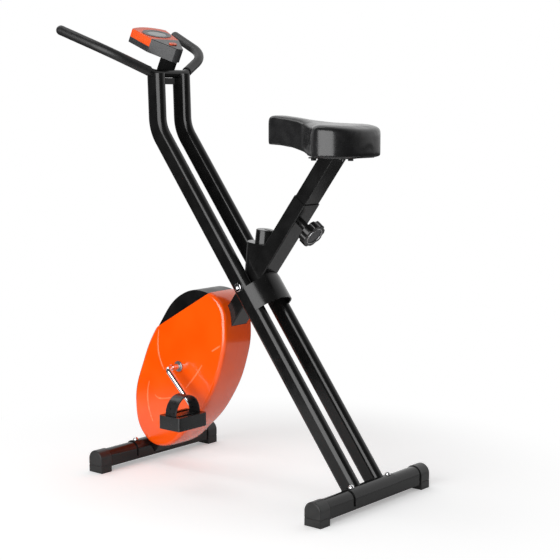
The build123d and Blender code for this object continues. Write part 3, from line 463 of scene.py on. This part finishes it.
section = Matrix.Translation((disc_ring_radius, 0, 0)) @ Matrix.Rotation(math.pi / 2, 4, "X")
bmesh.ops.create_circle(bm, segments=disc_ring_sides, radius=disc_ring_thickness, matrix=section)
bmesh.ops.spin(bm, geom=bm.verts[:] + bm.edges[:], cent=(0, 0, 0), axis=(0, 0, 1), angle=2 * math.pi,
               steps=disc_ring_steps, use_merge=True)
bmesh.ops.recalc_face_normals(bm, faces=bm.faces)
smooth_by_angle(bm, ring_crease)
low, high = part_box("pin_disc")
disc_face = (low + high) / 2 + pin_line * disc_ring_rise
in_knob = Matrix.Translation(disc_face) @ Matrix.Rotation(disc_tilt, 4, "Y")
bmesh.ops.transform(bm, verts=bm.verts, matrix=in_knob)
make_piece("pin_disc_ring", bm, ring_pale, "seat_pin", "disc_grey")

# Tension dial: a smooth moulded knob on the stub in front of the leg, which pulls the brake's cable.
# A raised mark on its top shows the setting.
dress_node("tension_knob", knob_black, "tension_dial", "knob_plastic")

# Saddle: moulded foam on a plastic pan, covered in stretched black vinyl that is tucked under the rim.
# A narrow nose flares into two broad wings, and the flat top rolls tightly into upright sides.
# The plan is half widths along the seat, and the rise is the heights of its rim and its top.
saddle_plan = [(0.1022, 0.010), (0.105, 0.0185), (0.112, 0.0245), (0.126, 0.0275), (0.16, 0.0285),
               (0.2, 0.029), (0.21, 0.0302), (0.22, 0.0336), (0.23, 0.0394), (0.24, 0.0468),
               (0.25, 0.055), (0.26, 0.0634), (0.27, 0.0718), (0.28, 0.08), (0.288, 0.0872),
               (0.296, 0.0943), (0.303, 0.0988), (0.31, 0.1012), (0.3195, 0.101), (0.3305, 0.0987),
               (0.3415, 0.0946), (0.352, 0.0885), (0.3615, 0.0803), (0.37, 0.0693), (0.3772, 0.055),
               (0.3828, 0.037), (0.3858, 0.0165)]
saddle_rise = [(0.1, 0.8278, 0.893), (0.112, 0.827, 0.8955), (0.125, 0.8263, 0.8957),
               (0.14, 0.8256, 0.8938), (0.18, 0.8205, 0.8885), (0.218, 0.811, 0.8828),
               (0.24, 0.8055, 0.8798), (0.255, 0.8025, 0.878), (0.27, 0.8012, 0.8767),
               (0.286, 0.8008, 0.8757), (0.306, 0.8008, 0.8747), (0.328, 0.8008, 0.8735),
               (0.351, 0.8008, 0.8718), (0.368, 0.801, 0.8695), (0.379, 0.8018, 0.8668),
               (0.392, 0.8035, 0.862)]
plan_steps = 8
block_height = 0.07
brow_level = 0.06
brow_round = 0.012
slice_step = 0.01
slice_numbers = range(8, 39)
foam_voxel = 0.004
vinyl_give = 0.0015
vinyl_pressure = 4
settle_frames = 20
nose_lift = 0.003
nose_lift_start = 0.26
nose_lift_run = 0.06
vinyl_black = mottled_finish("vinyl_black", dark=(0.012, 0.012, 0.0125), light=(0.017, 0.017, 0.0175),
                             rough=(0.19, 0.25), mottle=50, skin_scale=1500, skin_depth=1.5e-6, cells=True)
pan_black = mottled_finish("pan_black", dark=(0.006, 0.006, 0.006), light=(0.009, 0.009, 0.009),
                           rough=(0.5, 0.6), mottle=60, skin_scale=900, skin_depth=6e-5)
pan = dress_node("seat_pan", pan_black, "seat", "cap_plastic")
for vert in pan.data.vertices:
    vert.co.z += nose_lift * min(1, max(0, (nose_lift_start - vert.co.x) / nose_lift_run))


def soften(bm):
    bmesh.ops.smooth_vert(bm, verts=bm.verts, factor=0.5, use_axis_x=True, use_axis_y=True, use_axis_z=True)


left_side = [(x, -y, 0) for x, y in saddle_plan]
right_side = [(x, y, 0) for x, y in saddle_plan[::-1]]
bm = bmesh.new()
bm.from_mesh(closed_line("saddle_line", left_side + right_side, plan_steps))
plan = bmesh.ops.contextual_create(bm, geom=bm.edges[:])["faces"][0]
grown = bmesh.ops.extrude_face_region(bm, geom=[plan])["geom"]
bmesh.ops.translate(bm, verts=moved_verts(grown), vec=(0, 0, block_height))
bmesh.ops.recalc_face_normals(bm, faces=bm.faces)
brow = [e for e in bm.edges if min(v.co.z for v in e.verts) > brow_level]
bmesh.ops.bevel(bm, geom=brow, offset=brow_round, offset_type="OFFSET", segments=6, profile=0.5,
                affect="EDGES", material=-1)
for cut in slice_numbers:
    bmesh.ops.bisect_plane(bm, geom=bm.verts[:] + bm.edges[:] + bm.faces[:],
                           plane_co=(cut * slice_step, 0, 0), plane_no=(1, 0, 0))
for vert in bm.verts:
    for (x0, low0, high0), (x1, low1, high1) in zip(saddle_rise, saddle_rise[1:]):
        if x0 <= vert.co.x < x1:
            share = (vert.co.x - x0) / (x1 - x0)
            low = low0 + (low1 - low0) * share
            high = high0 + (high1 - high0) * share
            vert.co.z = low + (high - low) * vert.co.z / block_height
            break
saddle = make_piece("saddle", bm, vinyl_black, "seat", "seat_vinyl", "seat_pad")
foam = saddle.modifiers.new("foam", "REMESH")
foam.mode = "VOXEL"
foam.voxel_size = foam_voxel
saddle.data = bake(saddle)
bm = bmesh.new()
bm.from_mesh(saddle.data)
soften(bm)
bm.normal_update()
moulded = [v.co.copy() for v in bm.verts]
for vert, normal in zip(bm.verts, [v.normal.copy() for v in bm.verts]):
    vert.co -= normal * vinyl_give
bm.to_mesh(saddle.data)
bm.free()
vinyl = saddle.modifiers.new("vinyl", "CLOTH")
vinyl.settings.use_pressure = True
vinyl.settings.uniform_pressure_force = vinyl_pressure
vinyl.settings.effector_weights.gravity = 0
for step in range(1, settle_frames + 1):
    bpy.context.scene.frame_set(step)
saddle.data = bake(saddle)
bpy.context.scene.frame_set(1)
bm = bmesh.new()
bm.from_mesh(saddle.data)
for vert, start in zip(bm.verts, moulded):
    move = vert.co - start
    if move.length > vinyl_give:
        vert.co = start + move * vinyl_give / move.length
for repeat in range(3):
    soften(bm)
for face in bm.faces:
    face.smooth = True
bm.to_mesh(saddle.data)
bm.free()
saddle.data.materials.clear()
saddle.data.materials.append(vinyl_black)
skin = saddle.modifiers.new("skin", "SUBSURF")
skin.levels = skin.render_levels = 1

# Handlebar: one bent steel tube across the tops of the twin tubes, coated with the frame.
# A sleeve of dark closed-cell foam is pulled over each horn, with a rolled lip at its inner end.
# Each step of the lip is a move along the horn and a change of the ring's size.
foam_radius = 0.01215
horn_bend_radius = 0.108
horn_bend_steps = 20
horn_tube_radius = 0.0103
horn_sides = 40
horn_corner = (-0.23439, 0.055, 0.996)
horn_to_bend = (-0.0365, 0.112, 0.0495)
horn_to_tip = (-0.173, 0.1475, 0.105)
grip_start = 0.014
lip_steps = ((-0.0006, 1.09), (0.0004, 1.08), (0.0016, 1.035), (0.0022, 1.0), (0.0026, 0.975))
lip_to_sleeve = 0.9955
dome_steps = 6
dome_angle = math.pi / 12.4
grip_crease = 60
foam_black = mottled_finish("foam_black", dark=(0.011, 0.011, 0.0115), light=(0.015, 0.015, 0.0155),
                            rough=(0.42, 0.48), mottle=160, skin_scale=1500, skin_depth=5e-7, cells=True)
dress_node("handlebar", frame_black, "rear_frame", "frame_paint", bar_crease)


def pull_out(bm, ring, move, size):
    grown = bmesh.ops.extrude_edge_only(bm, edges=ring)["geom"]
    verts = moved_verts(grown)
    bmesh.ops.translate(bm, verts=verts, vec=move)
    middle = sum((v.co for v in verts), Vector()) / len(verts)
    bmesh.ops.scale(bm, verts=verts, vec=(size, size, size), space=Matrix.Translation(-middle))
    return [e for e in grown if isinstance(e, bmesh.types.BMEdge)]


for side, turn in (("left", -1), ("right", 1)):
    mirror = Matrix.Diagonal((1, turn, 1))
    corner = mirror @ Vector(horn_corner)
    bend = corner + mirror @ Vector(horn_to_bend)
    tip = corner + mirror @ Vector(horn_to_tip)
    inward = (bend - corner).normalized()
    outward = (tip - bend).normalized()
    sweep = inward.angle(outward)
    reach = horn_bend_radius * math.tan(sweep / 2)
    start = corner + inward * grip_start
    hinge = inward.cross(outward).normalized()
    middle = bend - inward * reach + hinge.cross(inward) * horn_bend_radius
    bm = bmesh.new()
    first_ring = Matrix.Translation(start) @ inward.to_track_quat("Z", "Y").to_matrix().to_4x4()
    bmesh.ops.create_circle(bm, segments=horn_sides, radius=horn_tube_radius, matrix=first_ring)
    ring = bm.edges[:]
    for step, size in lip_steps:
        ring = pull_out(bm, ring, inward * step, size)
    lip_end = start + inward * sum(step for step, size in lip_steps)
    ring = pull_out(bm, ring, bend - inward * reach - lip_end, lip_to_sleeve)
    ring_verts = list({v for e in ring for v in e.verts})
    spun = bmesh.ops.spin(bm, geom=ring + ring_verts, cent=middle, axis=hinge, angle=sweep,
                          steps=horn_bend_steps)
    ring = [e for e in spun["geom_last"] if isinstance(e, bmesh.types.BMEdge)]
    ring = pull_out(bm, ring, tip - bend - outward * reach, 1)
    for step in range(dome_steps):
        before, after = step * dome_angle, (step + 1) * dome_angle
        rise = foam_radius * (math.sin(after) - math.sin(before))
        ring = pull_out(bm, ring, outward * rise, math.cos(after) / math.cos(before))
    bmesh.ops.contextual_create(bm, geom=ring)
    bmesh.ops.remove_doubles(bm, verts=bm.verts, dist=weld_distance / 2)
    bmesh.ops.recalc_face_normals(bm, faces=bm.faces)
    smooth_by_angle(bm, grip_crease)
    make_piece("foam_grip_" + side, bm, foam_black, "rear_frame", "grip_foam", "grip_" + side)

# Console: a grey moulded case with an orange upper shell, an oval display window and one orange button.
# It stands on a short neck over the crossbar.
button_edge = 0.0006
console_grey = mottled_finish("console_grey", dark=(0.03, 0.0305, 0.032), light=(0.04, 0.0405, 0.0425),
                              rough=(0.26, 0.34), mottle=60, skin_scale=1000, skin_depth=1e-6)
console_orange = mottled_finish("console_orange", dark=(0.92, 0.085, 0.004), light=(0.98, 0.1, 0.006),
                                rough=(0.3, 0.36), mottle=40, skin_scale=700, skin_depth=4e-7)
bezel_grey = mottled_finish("bezel_grey", dark=(0.05, 0.052, 0.058), light=(0.065, 0.067, 0.073),
                            rough=(0.25, 0.35), mottle=90, skin_scale=900, skin_depth=2e-5)
display = mottled_finish("display", dark=(0.28, 0.3, 0.3), light=(0.36, 0.38, 0.37),
                         rough=(0.08, 0.14), mottle=50, skin_scale=300, skin_depth=4e-6)
dress_node("console_case", console_grey, "rear_frame", "console_grey")
dress_node("console_cover", console_orange, "rear_frame", "console_orange")
dress_node("console_bezel", bezel_grey, "rear_frame", "console_grey")
dress_node("console_lens", display, "rear_frame", "lens_clear")
dress_node("console_button", console_orange, "reset_button", "console_orange", edge_round=button_edge)

# Studio: a round pale floor that fades into a white surround, and soft lamps.
# The surround is bright behind the bike and dark on the camera's side, as in a room with one white wall.
floor_radius = 1.0
floor_steps = 96
floor_shade = 0.82
floor_seen = 1.3
floor_fade = (0.4, 0.95, 0.3, 1)
wall_facing = (-0.3, 0.95, 0)
wall_glow = (-0.3, 0.8, 0.04, 1)
wall_foot = (-0.11, 0.05, 0.1, 1)
camera_place = (2.17815, -2.47564, 0.92565)
camera_dip = 7.483
camera_turn = 39.641
camera_lens = 87.14
camera_film = 36
bm = bmesh.new()
bmesh.ops.create_circle(bm, cap_ends=True, segments=floor_steps, radius=floor_radius)
floor_mesh = bpy.data.meshes.new("floor")
bm.to_mesh(floor_mesh)
bm.free()
floor = bpy.data.objects.new("floor", floor_mesh)
bpy.context.scene.collection.objects.link(floor)


def smooth_range(tree, value, stops):
    node = tree.nodes.new("ShaderNodeMapRange")
    node.interpolation_type = "SMOOTHSTEP"
    set_range(node, *stops)
    tree.links.new(value, node.inputs["Value"])
    return node.outputs["Result"]


def combined(tree, operation, first, second):
    node = tree.nodes.new("ShaderNodeMath")
    node.operation = operation
    tree.links.new(first, node.inputs[0])
    tree.links.new(second, node.inputs[1])
    return node.outputs[0]


floor_white = bpy.data.materials.new("floor_white")
floor_white.use_nodes = True
tree = floor_white.node_tree
tree.nodes.clear()
seen = tree.nodes.new("ShaderNodeLightPath").outputs["Is Camera Ray"]
tone = tree.nodes.new("ShaderNodeMapRange")
set_range(tone, 0, 1, floor_shade, floor_seen)
tree.links.new(seen, tone.inputs["Value"])
pale = tree.nodes.new("ShaderNodeBsdfDiffuse")
tree.links.new(tone.outputs["Result"], pale.inputs["Color"])
white = tree.nodes.new("ShaderNodeEmission")
reach = tree.nodes.new("ShaderNodeVectorMath")
reach.operation = "LENGTH"
tree.links.new(tree.nodes.new("ShaderNodeTexCoord").outputs["Object"], reach.inputs[0])
fade = smooth_range(tree, reach.outputs["Value"], floor_fade)
both = tree.nodes.new("ShaderNodeMixShader")
tree.links.new(combined(tree, "MULTIPLY", fade, seen), both.inputs["Fac"])
tree.links.new(pale.outputs[0], both.inputs[1])
tree.links.new(white.outputs[0], both.inputs[2])
output = tree.nodes.new("ShaderNodeOutputMaterial")
tree.links.new(both.outputs[0], output.inputs["Surface"])
floor_mesh.materials.append(floor_white)

world = bpy.data.worlds.new("studio")
bpy.context.scene.world = world
world.use_nodes = True
tree = world.node_tree
light = tree.nodes["Background"]
light.inputs["Color"].default_value = (1, 1, 1, 1)
place = tree.nodes.new("ShaderNodeTexCoord").outputs["Generated"]
wall = tree.nodes.new("ShaderNodeVectorMath")
wall.operation = "DOT_PRODUCT"
wall.inputs[1].default_value = wall_facing
tree.links.new(place, wall.inputs[0])
height = tree.nodes.new("ShaderNodeSeparateXYZ")
tree.links.new(place, height.inputs[0])
glow = smooth_range(tree, wall.outputs["Value"], wall_glow)
horizon = smooth_range(tree, height.outputs["Z"], wall_foot)
seen = tree.nodes.new("ShaderNodeLightPath").outputs["Is Camera Ray"]
level = combined(tree, "MAXIMUM", combined(tree, "MULTIPLY", glow, horizon), seen)
tree.links.new(level, light.inputs["Strength"])


def soft_lamp(name, place, aim, width, height, power):
    lamp = bpy.data.lights.new(name, "AREA")
    lamp.shape = "RECTANGLE"
    lamp.size = width
    lamp.size_y = height
    lamp.energy = power
    holder = bpy.data.objects.new(name, lamp)
    holder.location = place
    holder.rotation_euler = (Vector(aim) - Vector(place)).to_track_quat("-Z", "Y").to_euler()
    bpy.context.scene.collection.objects.link(holder)


soft_lamp("left_lamp", place=(0.5, -3.0, 0.9), aim=(0, 0, 0.75), width=3.6, height=2.9, power=148)
soft_lamp("top_lamp", place=(-1.5, -0.2, 3.0), aim=(0.2, 0, 0.85), width=0.8, height=2.4, power=14)

lens = bpy.data.cameras.new("camera")
lens.lens = camera_lens
lens.sensor_width = camera_film
camera = bpy.data.objects.new("camera", lens)
camera.location = camera_place
camera.rotation_euler = (math.radians(90 - camera_dip), 0, math.radians(camera_turn))
bpy.context.scene.collection.objects.link(camera)
bpy.context.scene.camera = camera
bpy.context.scene.view_settings.view_transform = "Standard"
